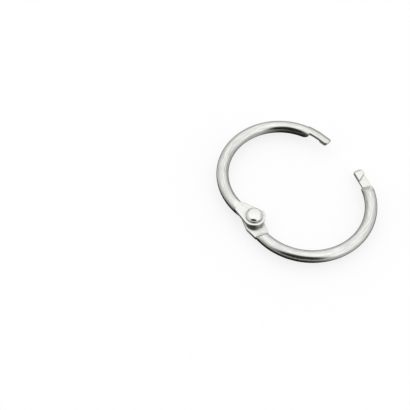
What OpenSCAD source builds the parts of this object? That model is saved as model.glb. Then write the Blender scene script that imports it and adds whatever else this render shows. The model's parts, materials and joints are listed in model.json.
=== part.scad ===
// Hinged binder ring: two half rings of round steel wire on one rivet.
// The hinge ends are coined flat and lie on each other, and the free ends
// are pressed narrow and cut to half depth, as two hooks that overlap when
// the ring is shut.
// Origin: on the rivet's axis, at the end of its tail. +Y runs from the
// hinge to the middle of the opening. The ring stands open.

/* [Wire] */
// Diameter of the round wire
wire_d = 2.9; // [2.6:0.1:3.2]
// Distance from the rivet's axis to the wire's axis at the shut latch
latch_y = 28.3; // [27:0.1:60]
// How much larger the lower half's bend is than the upper half's, in radius
lower_extra = 0.45; // [0.3:0.05:0.6]
// Distance of the upper bend's centre from the shut ring's middle line
upper_shift = 1.65; // [1:0.05:1.8]
// Distance of the lower bend's centre from the shut ring's middle line
lower_shift = 1; // [0.8:0.05:1.4]
// Angle by which the upper half's bend runs on into its hook
upper_run_on = 8; // [6:1:10]

/* [Hinge] */
// Thickness of each coined paddle
paddle_t = 1.2; // [1:0.05:1.3]
// Play between the two paddles, and under the rivet's head
face_play = 0.04; // [0.02:0.01:0.08]
// Distance from the rivet's axis to each paddle's outer edge and round end
paddle_r = 2.6; // [2.5:0.05:2.8]
// Distance from the rivet's axis to the end of the lower paddle's flare
flare_end = 2; // [1.5:0.1:2.4]
// How far inside the wire's outer side a paddle's outer edge starts
knee_inset = 0.1; // [0.05:0.05:0.4]
// Distance from the rivet's axis to the upper paddle's inner edge
upper_inner = 2.2; // [2:0.1:2.4]
// Distance from the rivet's axis to the lower paddle's inner edge
lower_inner = 1.9; // [1.8:0.1:2.2]
// Distance from the rivet's axis to the start of the coined flat
coined_l = 5.1; // [4.9:0.1:6]
// Length of the slope from the round wire down to the coined flat
coined_slope = 0.8; // [0.4:0.1:1.2]
// Length of coined flat on the lower half that stays over full wire
coined_root = 0.4; // [0.2:0.1:0.8]
// Length of the slope on both shoulders
shoulder_l = 0.8; // [0.5:0.1:1]
// Reach of the lower paddle's square corner along its wire
stop_reach = 2.3; // [2.1:0.1:2.5]
// Radius of the lower paddle's square corner
stop_r = 0.5; // [0.3:0.1:0.7]
// Angle past the resting pose at which that corner meets the upper shoulder
stop_spare = 2; // [1:0.5:8]
// Gap that the corner keeps from the shoulder at the stop
stop_gap = 0.03; // [0.02:0.01:0.1]

/* [Rivet] */
// Diameter of the rivet's shank and tail
rivet_d = 2.4; // [2:0.1:2.6]
// Diameter of the rivet's head
head_d = 3.8; // [3.4:0.1:4.4]
// Height of the head's straight rim
head_rim = 0.75; // [0.6:0.05:1.1]
// Height of the dome over the rim
head_dome = 0.35; // [0.2:0.05:0.5]
// Length of tail that stands out below the lower paddle
tail_l = 1.2; // [0.8:0.1:1.5]
// Bevel round the tail's end
tail_bevel = 0.2; // [0.1:0.05:0.3]
// Radial running play of the rivet in the upper paddle
rivet_play = 0.05; // [0.02:0.01:0.1]
// Radial interference of the rivet in the lower paddle
rivet_grip = 0.005; // [0.002:0.001:0.01]

/* [Latch] */
// Length over which the two hooked ends overlap when shut
latch_l = 5.9; // [5:0.1:6.5]
// Gap between the backs of the two heads when shut, along the wire
latch_gap = 0.6; // [0.2:0.1:0.8]
// Angle by which the back of a head slants across the wire
back_slant = 36; // [0:2:40]
// Play between a hook's tip and the other half's slope
tip_play = 0.2; // [0.05:0.05:0.3]
// Gap between each head and the wire's middle plane
head_play = 0.03; // [0.02:0.01:0.06]
// Depth of each neck below the face of its head
neck_depth = 0.4; // [0.3:0.05:0.5]
// Length of the slope from the round wire down to the neck
neck_slope = 2.35; // [1.5:0.05:2.5]
// Depth to which a hook is pressed in on the ring's inner side
inner_press = 0.7; // [0.4:0.05:0.9]
// Length over which the round wire narrows to the hook
narrowing_l = 0.9; // [0.6:0.1:2]
// Radius of the hooks' corners in plan
tip_r = 0.6; // [0.5:0.1:1]
// Length of the lead-in slope on each head
lead_l = 0.75; // [0.6:0.05:1]

/* [Pose] */
// How far the ring stands open
open_angle = 31.3; // [15:0.1:40]

/* [Hidden] */
$fn = 72;

wire_r = wire_d / 2;
face_z = face_play / 2;
paddle_top = face_z + paddle_t;
mid_z = tail_l + paddle_top;

hook_half = latch_l / 2;
neck_z = head_play + neck_depth;
// The slope passes the other half's tip with play.
hook_root = hook_half + tip_play - 2 * neck_slope * neck_z / (neck_z + wire_r);
// Spare length by which a cut runs past the wire.
over = 1;
arc_steps = 16;

// Each half: its bend's radius, the shift of its centre, the angle by which the
// bend runs on past the top, and which way the back of its head slants.
upper = [latch_y / 2, upper_shift, upper_run_on, -back_slant];
lower = [latch_y / 2 + lower_extra, lower_shift, 0, back_slant];

// Where a half's bend centre lies when the ring is shut.
function bend_centre(half) = [-half[1], latch_y - half[0]];
// Angle by which the line from the rivet to that centre leans from +Y.
function lean(half) = atan2(half[1], latch_y - half[0]);
// Distance from the bend's end to the middle of the latch, along the hook.
function latch_mid(half) = (half[1] - half[0] * sin(half[2])) / cos(half[2]);
// Point on the wire's outer side at distance x before the rivet, moved inwards.
function outer_side(half, x, inset) = [-x, inset + norm(bend_centre(half))
    - sqrt(pow(half[0] + wire_r, 2) - pow(x, 2))];
// Angle of the edge that runs from p to the paddle's round end.
function edge_a(p) = asin(paddle_r / norm(p)) - atan2(-p[1], -p[0]);
function arc_points(c, r, a0, a1) =
    [for (i = [0:arc_steps]) let (a = a0 + (a1 - a0) * i / arc_steps) c + r * [cos(a), sin(a)]];
function smooth(t) = t * t * (3 - 2 * t);

// Corner of the lower paddle that stops the ring on the upper shoulder.
corner = [stop_reach - stop_r, paddle_r - stop_r];
stop_swing = atan2(corner[1], corner[0]) - lean(lower) - lean(upper) - open_angle - stop_spare;
upper_shoulder = norm(corner) * cos(stop_swing) + stop_r + stop_gap;

// Places a hook on its half, from a latch middle at the origin with the wire along X.
module at_latch(half) {
    translate(bend_centre(half))
        rotate([0, 0, -half[2]])
            translate([latch_mid(half), half[0], 0])
                children();
}

// Round wire of one half: the bend and the straight end at the latch.
module wire(half) {
    translate(bend_centre(half)) rotate([0, 0, 90 - half[2]])
        rotate_extrude(angle = 180 + half[2] + lean(half)) translate([half[0], 0]) circle(d = wire_d);
    at_latch(half)
        rotate([0, 90, 0]) translate([0, 0, -latch_mid(half)])
            cylinder(h = latch_mid(half) + hook_half, d = wire_d);
}

// Plan of a hooked end. Its outer side clears the wire, so that only the corner cuts it.
module hook_plan() {
    inner = inner_press - wire_r;
    outer = wire_r + tip_r / 8;
    steps = [for (i = [0:arc_steps]) i / arc_steps];
    polygon(concat(
        [for (t = steps)
            [-hook_root - narrowing_l * (1 - t), inner - (inner_press + over) * (1 - smooth(t))]],
        arc_points([hook_half - tip_r, inner + tip_r], tip_r, -90, 0),
        arc_points([hook_half - tip_r, outer - tip_r], tip_r, 0, 90),
        [[-hook_root - narrowing_l, outer]]));
}

// What is pressed off round a hooked end.
module hook_sides() {
    translate([0, 0, -wire_d])
        linear_extrude(2 * wire_d)
            difference() {
                translate([-hook_root - narrowing_l, -wire_d])
                    square([hook_root + narrowing_l + hook_half + over, 2 * wire_d]);
                hook_plan();
            }
}

// Side view of a cut, extruded across the wire.
module across(points) {
    rotate([90, 0, 0])
        translate([0, 0, -wire_d])
            linear_extrude(2 * wire_d) polygon(points);
}

// What is cut away under a hook, with the head left standing at its tip.
module hook_cut(slant) {
    back = latch_gap / 2;
    skew = wire_d * tan(slant);
    difference() {
        across([[-hook_root - neck_slope - over, -wire_r - over],
            [-hook_root - neck_slope, -wire_r], [-hook_root, neck_z],
            [hook_half + over, neck_z], [hook_half + over, -wire_r - over]]);
        intersection() {
            across([[-hook_half, neck_z + over], [-hook_half, head_play],
                [hook_half - lead_l, head_play], [hook_half, neck_z], [hook_half, neck_z + over]]);
            linear_extrude(wire_d)
                polygon([[back - skew, -wire_d], [hook_half + over, -wire_d],
                    [hook_half + over, wire_d], [back + skew, wire_d]]);
        }
    }
}

// Plan of a paddle, with the rivet at the origin and the bend's centre on +Y.
module paddle_plan(half, inner, square_corner) {
    root = outer_side(half, coined_l, wire_r / 2);
    knee = outer_side(half, coined_l - coined_root, knee_inset);
    inner_a = asin(inner / paddle_r);
    end = square_corner
        ? concat(arc_points([0, 0], paddle_r, inner_a, acos(stop_reach / paddle_r)),
            arc_points([corner[0], -corner[1]], stop_r, 0, -90), [[-flare_end, -paddle_r]])
        : arc_points([0, 0], paddle_r, inner_a, -90 - edge_a(knee));
    polygon(concat([knee, root, [-coined_l, inner]], end));
}

// Slope and flat that the coining presses into the wire, in side view.
module coined_cut() {
    rotate([90, 0, 0])
        translate([0, 0, -latch_y / 2])
            linear_extrude(latch_y)
                polygon([[-coined_l, paddle_top], [-coined_l - coined_slope, wire_r],
                    [-coined_l - coined_slope, wire_r + over], [coined_l, wire_r + over],
                    [coined_l, paddle_top]]);
}

// What is cut away under the paddle, down the slope of the shoulder.
module shoulder_cut(shoulder) {
    rotate([90, 0, 0])
        translate([0, 0, -latch_y / 2])
            linear_extrude(latch_y)
                polygon([[-shoulder, wire_r + over], [-shoulder, face_z],
                    [-shoulder - shoulder_l, -wire_r], [-shoulder - shoulder_l, -wire_r - over],
                    [latch_y, -wire_r - over], [latch_y, wire_r + over]]);
}

// One half as it lies when the ring is shut, with its paddle above the middle plane.
module half_ring(half, inner, shoulder, square_corner, hole_d) {
    difference() {
        union() {
            difference() {
                wire(half);
                rotate([0, 0, lean(half)]) shoulder_cut(shoulder);
                at_latch(half) hook_sides();
                at_latch(half) hook_cut(half[3]);
            }
            rotate([0, 0, lean(half)]) translate([0, 0, face_z])
                linear_extrude(paddle_t) paddle_plan(half, inner, square_corner);
        }
        rotate([0, 0, lean(half)]) coined_cut();
        translate([0, 0, -wire_d]) cylinder(h = 2 * wire_d, d = hole_d);
    }
}

// Half whose paddle lies under the rivet's head, with its hook cut from below.
module half_ring_upper() {
    color("gainsboro")
        translate([0, 0, mid_z])
            rotate([0, 0, open_angle / 2])
                half_ring(upper, upper_inner, upper_shoulder, false, rivet_d + 2 * rivet_play);
}

// The other half: turned over, so its paddle lies below and its hook is cut from above.
module half_ring_lower() {
    color("silver")
        translate([0, 0, mid_z])
            rotate([0, 0, -open_angle / 2])
                rotate([0, 180, 0])
                    half_ring(lower, lower_inner, coined_l - coined_root, true, rivet_d - 2 * rivet_grip);
}

// Rivet: domed head above, shank through both paddles, bevelled tail below.
module hinge_rivet() {
    head_z = mid_z + paddle_top + face_play;
    dome_r = (pow(head_d / 2, 2) + pow(head_dome, 2)) / (2 * head_dome);
    color("whitesmoke") {
        rotate_extrude()
            polygon([[0, 0], [rivet_d / 2 - tail_bevel, 0], [rivet_d / 2, tail_bevel],
                [rivet_d / 2, head_z], [head_d / 2, head_z], [head_d / 2, head_z + head_rim],
                [0, head_z + head_rim]]);
        translate([0, 0, head_z + head_rim])
            intersection() {
                translate([0, 0, head_dome - dome_r]) sphere(r = dome_r);
                cylinder(h = head_dome, d = head_d);
            }
    }
}

half_ring_upper();
half_ring_lower();
hinge_rivet();
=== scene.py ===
import json
from math import asin, atan2, cos, hypot, pi, radians, sin, tan

import bpy
import numpy as np
from mathutils import Matrix, Vector


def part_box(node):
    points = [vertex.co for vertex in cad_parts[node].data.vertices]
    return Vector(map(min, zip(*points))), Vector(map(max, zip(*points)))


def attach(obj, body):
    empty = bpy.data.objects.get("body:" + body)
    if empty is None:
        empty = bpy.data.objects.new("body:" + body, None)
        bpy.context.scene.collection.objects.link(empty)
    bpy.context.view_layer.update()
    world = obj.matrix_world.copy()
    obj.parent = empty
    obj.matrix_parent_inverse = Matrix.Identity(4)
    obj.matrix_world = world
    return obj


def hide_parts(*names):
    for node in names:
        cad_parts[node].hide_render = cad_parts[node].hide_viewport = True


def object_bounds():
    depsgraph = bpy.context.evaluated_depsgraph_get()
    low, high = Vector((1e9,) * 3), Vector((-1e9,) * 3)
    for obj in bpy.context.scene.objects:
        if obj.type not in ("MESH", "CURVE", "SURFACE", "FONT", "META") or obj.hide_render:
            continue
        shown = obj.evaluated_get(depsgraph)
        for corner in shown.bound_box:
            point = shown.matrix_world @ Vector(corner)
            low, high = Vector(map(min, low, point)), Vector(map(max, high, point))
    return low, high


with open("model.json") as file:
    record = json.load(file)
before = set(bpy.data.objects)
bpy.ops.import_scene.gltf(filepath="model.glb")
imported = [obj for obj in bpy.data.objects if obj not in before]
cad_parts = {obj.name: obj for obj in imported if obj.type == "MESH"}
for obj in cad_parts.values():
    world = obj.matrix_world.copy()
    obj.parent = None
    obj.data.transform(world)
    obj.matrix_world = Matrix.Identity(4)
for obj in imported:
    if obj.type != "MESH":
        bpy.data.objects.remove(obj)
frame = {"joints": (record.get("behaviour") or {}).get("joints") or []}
cad_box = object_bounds()

# ---- Upper half ring ----
# Drawn steel wire, cut to length with its free end pressed into a hook, bent
# round, and coined flat at the other end, where a hole is punched for the
# rivet. It is barrel plated with bright nickel before it is riveted.
MM = 0.001
hinge_z = frame["joints"][0]["pos_m"][2] / MM
open_angle = -frame["joints"][0]["range_deg"][0]
box_low, box_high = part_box("half_ring_upper")
wire_r = (box_high[2] - box_low[2]) / MM / 2

# The hinge end, in mm from the rivet's axis and over the wire's middle plane.
LATCH_Y = 28.3        # to the wire at the shut latch
PADDLE_R = 2.6        # to a paddle's round end and its outer edge
FACE_Z = 0.02         # a paddle's mating face
PADDLE_TOP = 1.22
COINED_L = 5.1        # to the start of the coined flat
COINED_ROOT = 0.4     # length over which the round wire turns into the paddle
COINED_SLOPE = 0.8    # length of the slope from the flat up to the round wire
SHOULDER_L = 0.8      # length of the slope from the wire's underside to the mating face
EDGE_R = 0.12         # rounding that coining and tumbling leave on an edge

# The hook, in mm from the middle of the latch, towards the tip or back.
HOOK_HALF = 2.95      # to the tip
HOOK_ROOT = 2.075     # back to the top of the slope up to the neck
NECK_SLOPE = 2.35     # length of that slope
NECK_Z = 0.43         # neck's face over the middle plane
HEAD_Z = 0.03         # head's face over the middle plane
HEAD_BACK = 0.3       # to the back of the head
HEAD_STEP_L = 0.28    # length over which the head rises from the neck
BACK_SLANT = 36       # degrees by which the head's back leans out of square
SLANT_L = 1.9         # distance from that back at which the lean has died out
LEAD_L = 0.75         # length of the lead-in at the tip
INNER_PRESS = 0.7     # how far the ring's inner side is pressed in
NARROWING_L = 0.9     # length over which it is pressed in
PRESS_CLEAR = 1       # how far outside the wire the press starts
TIP_R = 0.6           # rounding of the tip's corners

# Where sections of a half are drawn, and how far apart, in mm along the wire.
SHOULDERS_FROM = 2    # the shoulders and slopes lie between these two, from the rivet
SHOULDERS_TO = 6.6
HINGE_L = 8           # rivet to where the plain round wire starts
HOOK_L = 5            # where it ends to the latch's middle
PADDLE_STEP = 0.2
PRESSED_STEP = 0.06
EASED_STEP = 0.15
WIRE_STEP = 0.35
END_L = 0.7           # stretch at the hinge end in which sections crowd together
END_SECTIONS = 22
TIP_SECTIONS = 16
SECTION_POINTS = 80
FIRST_TURN = 0.02     # these three keep some width in the first and last sections
END_GAP = 0.001
TIP_GAP = 0.002

# How a section's outline is found, in mm or as a share.
HINGE_CORE_L = 2.5    # length over which its inner point moves from the wire's axis into the paddle
HOOK_CORE_L = 2       # the same, into the hook
HOOK_FLATNESS = 0.6   # how much flatter the rays are there
SQUARE_L = 3.5        # rivet to where sections begin to turn from the paddle's line to the bend's
SQUARE_FADE = 4       # length over which they turn
EDGE_POWER = 12       # the higher, the sharper the edge between two faces
JOIN_POWER = 24       # the same, between wire and paddle
TOP_RUN_OUT = 3       # times its own height that a slope runs on, clear of the wire
UNDER_RUN_OUT = 2
NECK_RUN_OUT = 1
LEAST_ROOM = 1e-4     # these two keep every ray ending somewhere
LEAST_REACH = 1e-3
FACET_SLACK = 0.005   # keeps the smooth wire inside the CAD part's facets
FAR = 1e3             # a face this far off cuts nothing
INWARD = np.array([-1, 1, -1, 1])[:, None]  # in from the outer, inner, top and bottom face

# How far the press moves the surface before the wire's lines fade, and are gone.
MARKED_FROM = 0.02
MARKED_L = 0.1


def ease(t):
    t = np.clip(t, 0, 1)
    return t * t * (3 - 2 * t)


def end_inset(left, radius):
    """How far a surface pulls in near an end that is rounded with that radius."""
    left = np.clip(left, 0, radius)
    return radius - np.sqrt(radius ** 2 - (radius - left) ** 2)


def steps(start, end, step):
    return np.linspace(start, end, max(2, int(abs(end - start) / step)), endpoint=False)


def section_places(hinge_end, latch, tip):
    """Distances along the wire at which a section is drawn, closest where the press has shaped it."""
    end_turn = np.linspace(FIRST_TURN, pi / 2, END_SECTIONS, endpoint=False)
    tip_turn = np.linspace(0, pi / 2, TIP_SECTIONS, endpoint=False)
    return np.concatenate([
        hinge_end + END_L * (1 - np.cos(end_turn)),
        steps(hinge_end + END_L, SHOULDERS_FROM, PADDLE_STEP),
        steps(SHOULDERS_FROM, SHOULDERS_TO, PRESSED_STEP),
        steps(SHOULDERS_TO, HINGE_L, EASED_STEP),
        steps(HINGE_L, latch - HOOK_L, WIRE_STEP),
        steps(latch - HOOK_L, tip - TIP_R, PRESSED_STEP),
        tip - TIP_R * (1 - np.sin(tip_turn)),
        [tip - TIP_GAP]])


def soft_max(power, *shares):
    """The largest of the shares, a little more where two are nearly equal."""
    return sum(share ** power for share in shares) ** (1 / power)


def used_up(core, ray, faces):
    """The shares of the room between a core and its outer, inner, top and bottom face that a ray uses up."""
    (m, z), (dm, dz) = core, ray
    outer, inner, top, bottom = faces[:, :, None]
    ways = (dm, outer - m), (-dm, m - inner), (dz, top - z), (-dz, z - bottom)
    return [np.maximum(advance, 0) / np.maximum(room, LEAST_ROOM) for advance, room in ways]


def outlines(core, wide, round_r, wire, paddle, paddle_faces, faces):
    """Each section's outline, out across the wire and up: the ends of the rays from its core.

    A ray ends on the round wire or on the paddle, whichever is further, or sooner on a face that the
    press has made. `wire` and `paddle` say how much a section has of each, from none to all.
    """
    around = np.linspace(0, 2 * pi, SECTION_POINTS, endpoint=False)[None, :]
    m, z = core[:, :, None]
    dm, dz = wide[0][:, None] * np.cos(around), wide[1][:, None] * np.sin(around)
    ray = dm ** 2 + dz ** 2
    offset = m * dm + z * dz
    to_wire = (-offset + np.sqrt(offset ** 2 - ray * (m ** 2 + z ** 2 - round_r[:, None] ** 2))) / ray
    to_paddle = 1 / soft_max(EDGE_POWER, *used_up((m, z), (dm, dz), paddle_faces))
    uncut = soft_max(JOIN_POWER,
                     to_wire * np.maximum(wire[:, None], LEAST_REACH),
                     to_paddle * np.maximum(paddle[:, None], LEAST_REACH))
    reach = 1 / soft_max(EDGE_POWER, 1 / uncut, *used_up((m, z), (dm, dz), faces))
    return m + reach * dm, z + reach * dz


def hinge_faces(x, shoulder):
    """Coined top with the slope up to the round wire, and the mating face with the shoulder below it."""
    rise = np.clip((-COINED_L - x) / COINED_SLOPE, 0, TOP_RUN_OUT)
    top = PADDLE_TOP + (wire_r - PADDLE_TOP) * rise
    lift = np.clip((x + shoulder + SHOULDER_L) / SHOULDER_L, -UNDER_RUN_OUT, 1)
    bottom = -wire_r + (FACE_Z + wire_r) * lift
    return np.stack([np.full_like(x, FAR), np.full_like(x, -FAR), top, bottom])


def hook_faces(hook):
    """Round corners at the tip, the pressed inner side, and the underside: neck, head and lead-in."""
    corner = end_inset(HOOK_HALF - hook, TIP_R)
    outer = np.where(hook < HOOK_HALF - TIP_R, FAR, wire_r - corner)
    narrowing = ease((hook + HOOK_ROOT + NARROWING_L) / NARROWING_L)
    inner = -wire_r + INNER_PRESS - (INNER_PRESS + PRESS_CLEAR) * (1 - narrowing) + corner
    climb = np.clip((hook + HOOK_ROOT + NECK_SLOPE) / NECK_SLOPE, -NECK_RUN_OUT, 1)
    climb = np.where(climb < 0, climb, (climb + ease(climb)) / 2)
    neck = -wire_r + (NECK_Z + wire_r) * climb
    head = (NECK_Z - HEAD_Z) * ease((hook - HEAD_BACK + HEAD_STEP_L / 2) / HEAD_STEP_L)
    lead = (NECK_Z - HEAD_Z) * np.clip((hook - HOOK_HALF + LEAD_L) / LEAD_L, 0, 1)
    return np.stack([outer, inner, np.full_like(hook, FAR), neck - head + lead])


def loft(name, sections):
    """Skins closed sections of points, in mm, and closes both ends with a fan."""
    count, points = sections.shape[:2]
    verts = np.vstack([sections.reshape(-1, 3), sections[0].mean(0), sections[-1].mean(0)])
    faces = [(i * points + j, i * points + (j + 1) % points,
              (i + 1) * points + (j + 1) % points, (i + 1) * points + j)
             for i in range(count - 1) for j in range(points)]
    for first, middle, order in ((0, count * points, -1), ((count - 1) * points, count * points + 1, 1)):
        for j in range(points):
            pair = (first + j, first + (j + 1) % points)[::order]
            faces.append((pair[0], pair[1], middle))
    mesh = bpy.data.meshes.new(name)
    mesh.from_pydata((verts * MM).tolist(), [], faces)
    return mesh


def half_ring_mesh(name, bend_r, shift, run_on, inner, outer, end_x, shoulder, slant):
    """One half as it lies in the shut ring, paddle up: sections from its hinge end to the hook's tip.

    The bend's centre is `shift` off the line from rivet to latch, and the bend runs on for `run_on`
    degrees at the hook. `inner` and `outer` give the paddle's two edges, `end_x` its end, `shoulder` the
    length of its mating face from the rivet, and `slant` the lean of the head's back.
    """
    # The wire's axis: an arc from the hinge end, then straight through the hook.
    centre_y = hypot(shift, LATCH_Y - bend_r)
    lean = atan2(shift, LATCH_Y - bend_r)
    bend_l = bend_r * (pi + lean + radians(run_on))
    latch = bend_l + (shift - bend_r * sin(radians(run_on))) / cos(radians(run_on))
    tip = latch + HOOK_HALF
    hinge_end = -bend_r * asin(end_x / bend_r)
    places = section_places(hinge_end, latch, tip)
    turned = np.minimum(places, bend_l) / bend_r
    outward = np.stack([-np.sin(turned), -np.cos(turned)], 1)
    along = np.stack([-np.cos(turned), np.sin(turned)], 1)
    axis = np.stack([-bend_r * np.sin(turned), centre_y - bend_r * np.cos(turned)], 1)
    axis = axis + along * np.maximum(places - bend_l, 0)[:, None]

    # The faces that bound each section, and how much of the wire and of the
    # paddle it has.
    x, y = axis.T
    hook = places - latch
    at_hinge = places < bend_l / 2
    inset = end_inset(np.where(at_hinge, places - hinge_end, tip - places), EDGE_R)
    faces = np.where(at_hinge, hinge_faces(x, shoulder), hook_faces(hook)) + inset * INWARD
    paddle_out = np.where(at_hinge, (y - outer(x)) * np.cos(turned), FAR)
    paddle_in = np.where(at_hinge, (y - inner(x)) * np.cos(turned), -FAR)
    level = np.ones_like(x)
    paddle_faces = np.stack([paddle_out, paddle_in, PADDLE_TOP * level, FACE_Z * level]) + inset * INWARD
    paddle = np.where(at_hinge, ease((x + COINED_L) / COINED_ROOT), 0)
    wire = np.where(at_hinge, 1 - ease((x + shoulder) / COINED_ROOT), 1)

    # The core moves from the wire's axis into the paddle and into the hook, and
    # the rays are spaced there to suit their flatter sections.
    outer_m, inner_m = np.where(at_hinge, paddle_faces[:2], 0)
    into_paddle = ease((x + HINGE_L) / HINGE_CORE_L) * at_hinge
    into_hook = ease((hook + HOOK_L) / HOOK_CORE_L) * ~at_hinge
    core = np.stack([into_paddle * (outer_m + inner_m) / 2 + into_hook * INNER_PRESS / 2,
                     into_paddle * (PADDLE_TOP + FACE_Z) / 2 + into_hook * (wire_r + NECK_Z) / 2])
    wide = np.stack([wire_r + into_paddle * ((outer_m - inner_m) / 2 - wire_r),
                     wire_r + into_paddle * ((PADDLE_TOP - FACE_Z) / 2 - wire_r)
                     - into_hook * wire_r * HOOK_FLATNESS])
    m, z = outlines(core, wide, wire_r - inset - FACET_SLACK, wire, paddle, paddle_faces, faces)

    # Sections stand square to the bend, but to the paddle at the hinge, and
    # they lean with the back of the head.
    square_off = -turned * (1 - ease((-x - SQUARE_L) / SQUARE_FADE)) * at_hinge
    near_back = (1 - ease(np.abs(hook - HEAD_BACK) / SLANT_L)) * ~at_hinge
    skew = np.tan(square_off) + tan(radians(slant)) * near_back
    across = outward[:, None, :] + skew[:, None, None] * along[:, None, :]
    plan = axis[:, None, :] + m[..., None] * across
    mesh = loft(name, np.concatenate([plan, z[..., None]], 2))
    mesh.transform(Matrix.Rotation(lean, 4, "Z"))

    # For the finish: each point's place in the straight wire, in mm, and how
    # far the press has marked the surface there.
    straight = np.stack([m, z, np.repeat(places[:, None], SECTION_POINTS, 1)], 2).reshape(-1, 3)
    straight = np.vstack([straight, straight[0], straight[-1]])
    moved = np.abs(np.hypot(straight[:, 0], straight[:, 1]) - wire_r)
    marked = ease((moved - MARKED_FROM) / MARKED_L)
    mesh.attributes.new("straight_wire", "FLOAT_VECTOR", "POINT").data.foreach_set("vector", straight.ravel())
    mesh.attributes.new("pressed", "FLOAT", "POINT").data.foreach_set("value", marked)
    return mesh


HOLE_SIDES = 96
PUNCH_L = 8  # longer than any paddle is thick


def punch(mesh, radius):
    """Punches the rivet's hole through a paddle."""
    piece = bpy.data.objects.new(mesh.name, mesh)
    bpy.context.scene.collection.objects.link(piece)
    bpy.ops.mesh.primitive_cylinder_add(vertices=HOLE_SIDES, radius=radius * MM, depth=PUNCH_L * MM)
    tool = bpy.context.object
    cut = piece.modifiers.new("hole", "BOOLEAN")
    cut.operation = "DIFFERENCE"
    cut.solver = "EXACT"
    cut.object = tool
    depsgraph = bpy.context.evaluated_depsgraph_get()
    piece.data = bpy.data.meshes.new_from_object(piece.evaluated_get(depsgraph))
    piece.modifiers.clear()
    bpy.data.objects.remove(tool)
    return piece


def linear(hex_colour):
    channels = [int(hex_colour[i:i + 2], 16) / 255 for i in (1, 3, 5)]
    return [c / 12.92 if c <= 0.04045 else ((c + 0.055) / 1.055) ** 2.4 for c in channels] + [1.0]


def add(tree, kind, settings=(), **inputs):
    """Adds a node. An input is named, or numbered as _0, and takes a value, a socket or a node's output."""
    node = tree.nodes.new(kind)
    for name, value in dict(settings).items():
        setattr(node, name, value)
    for name, value in inputs.items():
        if name[1:].isdigit():
            socket = node.inputs[int(name[1:])]
        else:
            socket = next(s for s in node.inputs if s.enabled and s.name == name.replace("_", " "))
        if isinstance(value, bpy.types.Node):
            value = next(s for s in value.outputs if s.enabled)
        if isinstance(value, bpy.types.NodeSocket):
            tree.links.new(value, socket)
        else:
            socket.default_value = value
    return node


def bare_material(name):
    material = bpy.data.materials.new(name)
    material.use_nodes = True
    material.node_tree.nodes.clear()
    return material


def nickel_plate(tree, colour, roughness, height, edge_tint):
    """Plates with bright nickel: a mirror with a fine relief, tinted where it is seen nearly edge on."""
    relief = add(tree, "ShaderNodeBump", Strength=RELIEF_SHARE, Distance=RELIEF * MM, Height=height)
    nickel = add(tree, "ShaderNodeBsdfPrincipled", Base_Color=colour, Metallic=1.0, Roughness=roughness,
                 Specular_Tint=edge_tint, Normal=relief)
    add(tree, "ShaderNodeOutputMaterial", Surface=nickel)


SHARP_EDGE = radians(50)  # an edge that turns by more than this is seen as an edge


def finish_half(piece, turn, material, body, node):
    """Plates a half, and turns it and lifts it to the hinge's height, into its place in the open ring."""
    piece.data.transform(Matrix.Translation((0, 0, hinge_z * MM)) @ turn)
    piece.data.materials.clear()
    piece.data.materials.append(material)
    for face in piece.data.polygons:
        face.use_smooth = True
    piece.data.set_sharp_from_angle(angle=SHARP_EDGE)
    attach(piece, body)
    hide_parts(node)


# Bright nickel on drawn wire: a clear mirror, streaked along the wire by the
# fine lines that the die left, with dark outlines. Where the press has worked
# it, it is paler and duller, with a faint grain. Close to the table, its colour
# is darkened with painted shade, most on one side: a painted reflection of a
# dark room there.
LINES_PER_MM = 4.0       # a die's lines are some ten times finer, and wouldn't show
LINE_STRETCH = 0.1       # a line's width over its length
LINE_DARK = "#bebdba"
LINE_PALE = "#e5e5e2"
LINE_EDGE = "#505050"    # tint of the mirror nearly edge on
LINE_ROUGHNESS = (0.06, 0.18)   # from the dark lines to the pale ones
GRAIN_PER_MM = 2.5       # coarser than a press leaves it, so that it shows
GRAIN_DARK = "#d5d4d1"
GRAIN_PALE = "#e5e5e2"
GRAIN_EDGE = "#f0f0ee"
GRAIN_ROUGHNESS = (0.14, 0.28)
NOISE_LOW = 0.3          # nearly all of the noise lies between these two
NOISE_HIGH = 0.7
RELIEF = 0.02            # mm
RELIEF_SHARE = 0.35

# Painted shade: the dark colour that the wire is mixed towards close to the table.
PAINTED_SHADE = "#302c26"
SHADE_REACH = 30.0       # mm, how far off the table still shades the wire
SHADE_FULL = 0.7         # open share of the surroundings at which the shade is full
SHADE_NONE = 0.93        # and at which there is none
SHADE_TURN = radians(18.3)  # the dark side, from -Y towards +X
SIDE_FROM = 0.45         # cosine of the angle off that side beyond which the shade is least
SIDE_FULL = 0.9          # and within which it is full
SIDE_LEAST = 0.35        # share of the shade that is left on the other sides
PRESSED_LOSS = 0.1       # share of it that a pressed face loses

wire_plate = bare_material("bright_nickel_plated_drawn_wire")
tree = wire_plate.node_tree
place = add(tree, "ShaderNodeAttribute", {"attribute_name": "straight_wire"}).outputs["Vector"]
pressed = add(tree, "ShaderNodeAttribute", {"attribute_name": "pressed"}).outputs["Fac"]
stretched = add(tree, "ShaderNodeVectorMath", {"operation": "MULTIPLY"}, _0=place, _1=(1, 1, LINE_STRETCH))
lines = add(tree, "ShaderNodeTexNoise", Vector=stretched, Scale=LINES_PER_MM, Detail=4.0, Roughness=0.6)
grain = add(tree, "ShaderNodeTexNoise", Vector=place, Scale=GRAIN_PER_MM, Detail=4.0, Roughness=0.65)
line_share = add(tree, "ShaderNodeMapRange", Value=lines, From_Min=NOISE_LOW, From_Max=NOISE_HIGH)
grain_share = add(tree, "ShaderNodeMapRange", Value=grain, From_Min=NOISE_LOW, From_Max=NOISE_HIGH)

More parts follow.
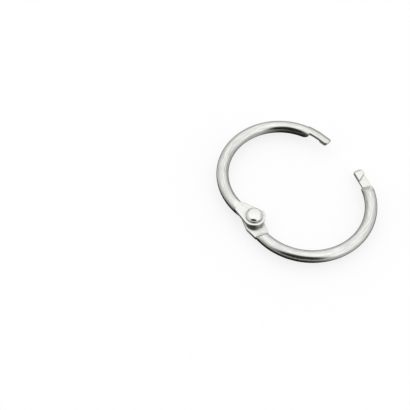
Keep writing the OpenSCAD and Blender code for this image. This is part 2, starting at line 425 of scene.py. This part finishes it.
lined = add(tree, "ShaderNodeMix", {"data_type": "RGBA"}, Factor=line_share,
            A=linear(LINE_DARK), B=linear(LINE_PALE))
grained = add(tree, "ShaderNodeMix", {"data_type": "RGBA"}, Factor=grain_share,
              A=linear(GRAIN_DARK), B=linear(GRAIN_PALE))
plain = add(tree, "ShaderNodeMix", {"data_type": "RGBA"}, Factor=pressed, A=lined, B=grained)
# Painted shade: where ambient occlusion finds the table close, the colour is mixed towards the painted shade.
# It is strongest on one fixed side and weaker on the others.
shelter = add(tree, "ShaderNodeAmbientOcclusion", {"samples": 16}, Distance=SHADE_REACH * MM)
sheltered = add(tree, "ShaderNodeMapRange", {"interpolation_type": "SMOOTHSTEP"}, Value=shelter.outputs["AO"],
                From_Min=SHADE_FULL, From_Max=SHADE_NONE, To_Min=1.0, To_Max=0.0)
normal = add(tree, "ShaderNodeNewGeometry").outputs["Normal"]
facing = add(tree, "ShaderNodeVectorMath", {"operation": "DOT_PRODUCT"},
             _0=normal, _1=(sin(SHADE_TURN), -cos(SHADE_TURN), 0))
shaded_side = add(tree, "ShaderNodeMapRange", {"interpolation_type": "SMOOTHSTEP"}, Value=facing,
                  From_Min=SIDE_FROM, From_Max=SIDE_FULL, To_Min=SIDE_LEAST, To_Max=1.0)
kept_share = add(tree, "ShaderNodeMapRange", Value=pressed, To_Min=1.0, To_Max=1 - PRESSED_LOSS)
shade = add(tree, "ShaderNodeMath", {"operation": "MULTIPLY"}, _0=sheltered, _1=shaded_side)
shade = add(tree, "ShaderNodeMath", {"operation": "MULTIPLY"}, _0=shade, _1=kept_share)
colour = add(tree, "ShaderNodeMix", {"data_type": "RGBA"}, Factor=shade, A=plain, B=linear(PAINTED_SHADE))

line_roughness = add(tree, "ShaderNodeMapRange", Value=line_share,
                     To_Min=LINE_ROUGHNESS[0], To_Max=LINE_ROUGHNESS[1])
grain_roughness = add(tree, "ShaderNodeMapRange", Value=grain_share,
                      To_Min=GRAIN_ROUGHNESS[0], To_Max=GRAIN_ROUGHNESS[1])
roughness = add(tree, "ShaderNodeMix", Factor=pressed, A=line_roughness, B=grain_roughness)
height = add(tree, "ShaderNodeMix", Factor=pressed, A=lines, B=grain)
edge_tint = add(tree, "ShaderNodeMix", {"data_type": "RGBA"}, Factor=pressed,
                A=linear(LINE_EDGE), B=linear(GRAIN_EDGE))
nickel_plate(tree, colour, roughness, height, edge_tint)

UPPER_R = LATCH_Y / 2        # the wire's bend, to its middle
UPPER_SHIFT = 1.65           # of the bend's centre, off the line from rivet to latch
UPPER_RUN_ON = 8             # degrees that the bend runs on past the half circle
UPPER_INNER = 2.2            # rivet to the paddle's inner edge
UPPER_KNEE = (-4.7, -0.53)   # where its outer edge leaves the wire
UPPER_SHOULDER = 3.28        # clears the lower paddle's corner until the ring is at its widest
UPPER_HOLE_R = 1.25          # turns freely on the rivet


def end_arc(x):
    """Half the width of a paddle's round end, at x past the rivet."""
    return np.sqrt(np.maximum(PADDLE_R ** 2 - x ** 2, 0))


def upper_inner(x):
    return np.where(x > 0, np.minimum(UPPER_INNER, end_arc(x)), UPPER_INNER)


def upper_outer(x):
    """From the knee in a straight line that runs smoothly into the round end."""
    slope = asin(PADDLE_R / hypot(*UPPER_KNEE)) - atan2(-UPPER_KNEE[1], -UPPER_KNEE[0])
    line = UPPER_KNEE[1] - (x - UPPER_KNEE[0]) * tan(slope)
    return np.where(x < -PADDLE_R * sin(slope), line, -end_arc(x))


upper_mesh = half_ring_mesh("upper_half_ring", UPPER_R, UPPER_SHIFT, UPPER_RUN_ON, upper_inner, upper_outer,
                            PADDLE_R - END_GAP, UPPER_SHOULDER, -BACK_SLANT)
upper = punch(upper_mesh, UPPER_HOLE_R)
finish_half(upper, Matrix.Rotation(radians(open_angle / 2), 4, "Z"), wire_plate,
            "upper_half", "half_ring_upper")

# ---- Lower half ring ----
# The same wire and plating, bent a little wider and turned over, so that its
# paddle lies under the other one. The paddle keeps one square corner, which
# stops the ring at its widest.
LOWER_EXTRA = 0.45           # how much wider it is bent
LOWER_R = UPPER_R + LOWER_EXTRA
LOWER_SHIFT = 1.0
LOWER_RUN_ON = 0
LOWER_INNER = 1.9
LOWER_KNEE = (-4.7, -1.51)
LOWER_SHOULDER = COINED_L - COINED_ROOT
LOWER_HOLE_R = 1.195         # grips the rivet
FLARE_END = 2                # rivet to where the outer edge has flared to its full width
STOP_REACH = 2.3             # rivet to the far side of the square corner
STOP_R = 0.5                 # rounding of that corner


def lower_inner(x):
    return np.where(x > 0, np.minimum(LOWER_INNER, end_arc(x)), LOWER_INNER)


def lower_outer(x):
    """From the knee out to its full width, then straight on to the square corner."""
    flared = (x - LOWER_KNEE[0]) / (-FLARE_END - LOWER_KNEE[0])
    flare = LOWER_KNEE[1] + flared * (-PADDLE_R - LOWER_KNEE[1])
    return np.maximum(flare, -PADDLE_R) + end_inset(STOP_REACH - x, STOP_R)


lower_mesh = half_ring_mesh("lower_half_ring", LOWER_R, LOWER_SHIFT, LOWER_RUN_ON, lower_inner, lower_outer,
                            STOP_REACH - END_GAP, LOWER_SHOULDER, BACK_SLANT)
lower = punch(lower_mesh, LOWER_HOLE_R)
turned_over = Matrix.Rotation(radians(-open_angle / 2), 4, "Z") @ Matrix.Rotation(pi, 4, "Y")
finish_half(lower, turned_over, wire_plate, "lower_half", "half_ring_lower")

# ---- Rivet ----
# A headed steel rivet, pressed into the lower paddle and plated like the
# wire. Its head keeps the upper paddle down with a little play.
HEAD_R = 1.9
HEAD_UNDER = hinge_z + PADDLE_TOP + 2 * FACE_Z
HEAD_H = 1.1
HEAD_EDGE = 0.06      # small bevel round its underside
CROWN_H = 0.12        # rise of the low dome on top
BROW_R = 0.6          # height and width of the rounding between dome and side
BEVELLED = 1.4        # 1 makes it round, 2 a straight bevel
SHANK_R = 1.2
TAIL_BEVEL = 0.2
AROUND = 128
BROW_POINTS = 20
CROWN_POINTS = 12
RIVET_SHARP_EDGE = radians(35)


def revolve(name, profile):
    """Turns a profile of (radius, height) points, from axis to axis, about Z."""
    rings = profile[1:-1]
    verts = [(r * cos(2 * pi * k / AROUND), r * sin(2 * pi * k / AROUND), z)
             for r, z in rings for k in range(AROUND)]
    verts += [(0, 0, profile[0][1]), (0, 0, profile[-1][1])]
    faces = [(i * AROUND + k, i * AROUND + (k + 1) % AROUND,
              (i + 1) * AROUND + (k + 1) % AROUND, (i + 1) * AROUND + k)
             for i in range(len(rings) - 1) for k in range(AROUND)]
    low, high, last = len(verts) - 2, len(verts) - 1, (len(rings) - 1) * AROUND
    faces += [(low, (k + 1) % AROUND, k) for k in range(AROUND)]
    faces += [(high, last + k, last + (k + 1) % AROUND) for k in range(AROUND)]
    mesh = bpy.data.meshes.new(name)
    mesh.from_pydata([tuple(c * MM for c in v) for v in verts], [], faces)
    for face in mesh.polygons:
        face.use_smooth = True
    mesh.set_sharp_from_angle(angle=RIVET_SHARP_EDGE)
    return mesh


# The brow is between a bevel and a round, and meets the dome in a faint edge.
brow_z = HEAD_UNDER + HEAD_H - CROWN_H - BROW_R
profile = [(0, 0), (SHANK_R - TAIL_BEVEL, 0), (SHANK_R, TAIL_BEVEL), (SHANK_R, HEAD_UNDER),
           (HEAD_R - HEAD_EDGE, HEAD_UNDER), (HEAD_R, HEAD_UNDER + HEAD_EDGE)]
profile += [(HEAD_R - BROW_R * (1 - cos(a) ** BEVELLED), brow_z + BROW_R * sin(a) ** BEVELLED)
            for a in np.linspace(0, pi / 2, BROW_POINTS)]
crown_r, crown_z = profile[-1]
profile += [(crown_r * (1 - t), crown_z + CROWN_H * (1 - (1 - t) ** 2))
            for t in np.linspace(0, 1, CROWN_POINTS)[1:]]
rivet = bpy.data.objects.new("hinge_rivet_turned", revolve("hinge_rivet_turned", profile))
bpy.context.scene.collection.objects.link(rivet)

# Bright nickel on a cold-headed rivet: a smoother mirror than the wire's, with
# only a trace of the pressed faces' grain.
RIVET_EDGE = "#bcbcba"
RIVET_ROUGHNESS = (0.06, 0.16)

rivet_plate = bare_material("bright_nickel_plated_rivet")
tree = rivet_plate.node_tree
point = add(tree, "ShaderNodeTexCoord").outputs["Object"]
grain = add(tree, "ShaderNodeTexNoise", Vector=point, Scale=GRAIN_PER_MM / MM, Detail=4.0, Roughness=0.65)
grain_share = add(tree, "ShaderNodeMapRange", Value=grain, From_Min=NOISE_LOW, From_Max=NOISE_HIGH)
colour = add(tree, "ShaderNodeMix", {"data_type": "RGBA"}, Factor=grain_share,
             A=linear(GRAIN_DARK), B=linear(GRAIN_PALE))
roughness = add(tree, "ShaderNodeMapRange", Value=grain_share,
                To_Min=RIVET_ROUGHNESS[0], To_Max=RIVET_ROUGHNESS[1])
nickel_plate(tree, colour, roughness, grain, linear(RIVET_EDGE))
rivet.data.materials.append(rivet_plate)
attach(rivet, "lower_half")
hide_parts("hinge_rivet")

# ---- Table ----
# A plain board painted matt white, far larger than the ring that lies on it.
# It isn't part of the object.
TABLE_SIZE = 4.0

bpy.ops.mesh.primitive_plane_add(size=TABLE_SIZE, location=(0, 0, cad_box[0][2]))
table = bpy.context.object
table.name = "table"

# Matt white paint on board: no gloss. Part of its white is plain white to the
# camera and in the metal, so that the ring's shadow on it stays light.
BOARD_WHITE = "#fafafa"
PLAIN_SHARE = 0.75

board = bare_material("matt_white_board")
tree = board.node_tree
path = add(tree, "ShaderNodeLightPath")
mirrored = add(tree, "ShaderNodeMath", {"operation": "MAXIMUM"},
               _0=path.outputs["Is Glossy Ray"], _1=path.outputs["Is Transmission Ray"])
seen = add(tree, "ShaderNodeMath", {"operation": "MAXIMUM"}, _0=path.outputs["Is Camera Ray"], _1=mirrored)
plain_share = add(tree, "ShaderNodeMath", {"operation": "MULTIPLY"}, _0=seen, _1=PLAIN_SHARE)
paint = add(tree, "ShaderNodeBsdfPrincipled", Base_Color=linear(BOARD_WHITE), Roughness=0.9,
            Specular_IOR_Level=0.0)
white = add(tree, "ShaderNodeEmission", Color=linear("#ffffff"), Strength=1.0)
surface = add(tree, "ShaderNodeMixShader", _0=plain_share, _1=paint, _2=white)
add(tree, "ShaderNodeOutputMaterial", Surface=surface)
table.data.materials.append(board)

# ---- Camera ----
# It looks down on the ring from beside the lower half's hinge end, through a
# long lens. Turns, here and below, are from -Y towards +X.
VIEW_TURN = radians(51.3)
VIEW_TILT = radians(57.8)
VIEW_DISTANCE = 225.9 * MM
VIEW_TARGET = Vector((-10.035, -6.593, 2.42)) * MM
SENSOR = 36.0         # width, in mm
LENS = 84.45          # focal length, in mm
NEAREST = 10 * MM     # nothing nearer is drawn

back = Vector((sin(VIEW_TURN) * cos(VIEW_TILT), -cos(VIEW_TURN) * cos(VIEW_TILT), sin(VIEW_TILT)))
camera_data = bpy.data.cameras.new("camera")
camera_data.sensor_width = SENSOR
camera_data.lens = LENS
camera_data.clip_start = NEAREST
camera = bpy.data.objects.new("camera", camera_data)
bpy.context.scene.collection.objects.link(camera)
camera.location = VIEW_TARGET + back * VIEW_DISTANCE
camera.rotation_euler = back.to_track_quat("Z", "Y").to_euler()
bpy.context.scene.camera = camera

# ---- Light ----
# A white tent, brightest overhead, with a dark gap in front where the viewer
# stands, and a large soft lamp low on the right. The metal mirrors them.
TENT_TOP = 1.36       # brightness overhead, where 1 is white
TENT_SIDE = 0.7       # brightness at table height
GAP_TURN = VIEW_TURN - radians(10)
GAP_TILT = radians(16)
GAP_TALL = 2          # height over width
GAP_CORE = radians(19)
GAP_EDGE = radians(46)
GAP_LEVEL = 0.04      # share of the tent's light that comes through it
LAMP_TURN = VIEW_TURN + radians(55)
LAMP_TILT = radians(12)
LAMP_CORE = radians(18)
LAMP_EDGE = radians(41)
LAMP_LEVEL = 0.4      # brightness that it adds to the tent's

world = bpy.data.worlds.new("tent")
bpy.context.scene.world = world
world.use_nodes = True
sky = world.node_tree
sky.nodes.clear()
direction = add(sky, "ShaderNodeTexCoord").outputs["Generated"]
height = add(sky, "ShaderNodeSeparateXYZ", Vector=direction).outputs["Z"]
cloth = add(sky, "ShaderNodeMapRange", Value=height, To_Min=TENT_SIDE, To_Max=TENT_TOP)


def patch(turn, tilt, tall, core, edge, inside, outside):
    """A soft oval patch of sky, `tall` times as tall as wide: from `inside` at its core to `outside`."""
    low = add(sky, "ShaderNodeVectorMath", {"operation": "MULTIPLY"}, _0=direction, _1=(1, 1, 1 / tall))
    unit = add(sky, "ShaderNodeVectorMath", {"operation": "NORMALIZE"}, _0=low)
    towards = Vector((sin(turn), -cos(turn), tan(tilt) / tall)).normalized()
    facing = add(sky, "ShaderNodeVectorMath", {"operation": "DOT_PRODUCT"}, _0=unit, _1=towards)
    return add(sky, "ShaderNodeMapRange", {"interpolation_type": "SMOOTHSTEP"}, Value=facing,
               From_Min=cos(edge), From_Max=cos(core), To_Min=outside, To_Max=inside)


lamp = patch(LAMP_TURN, LAMP_TILT, 1, LAMP_CORE, LAMP_EDGE, LAMP_LEVEL, 0.0)
gap = patch(GAP_TURN, GAP_TILT, GAP_TALL, GAP_CORE, GAP_EDGE, GAP_LEVEL, 1.0)
cloth_lit = add(sky, "ShaderNodeMath", {"operation": "ADD"}, _0=cloth, _1=lamp)
lit = add(sky, "ShaderNodeMath", {"operation": "MULTIPLY"}, _0=cloth_lit, _1=gap)
tent = add(sky, "ShaderNodeBackground", Color=linear("#ffffff"), Strength=lit)
add(sky, "ShaderNodeOutputWorld", Surface=tent)

bpy.context.scene.view_settings.view_transform = "Standard"
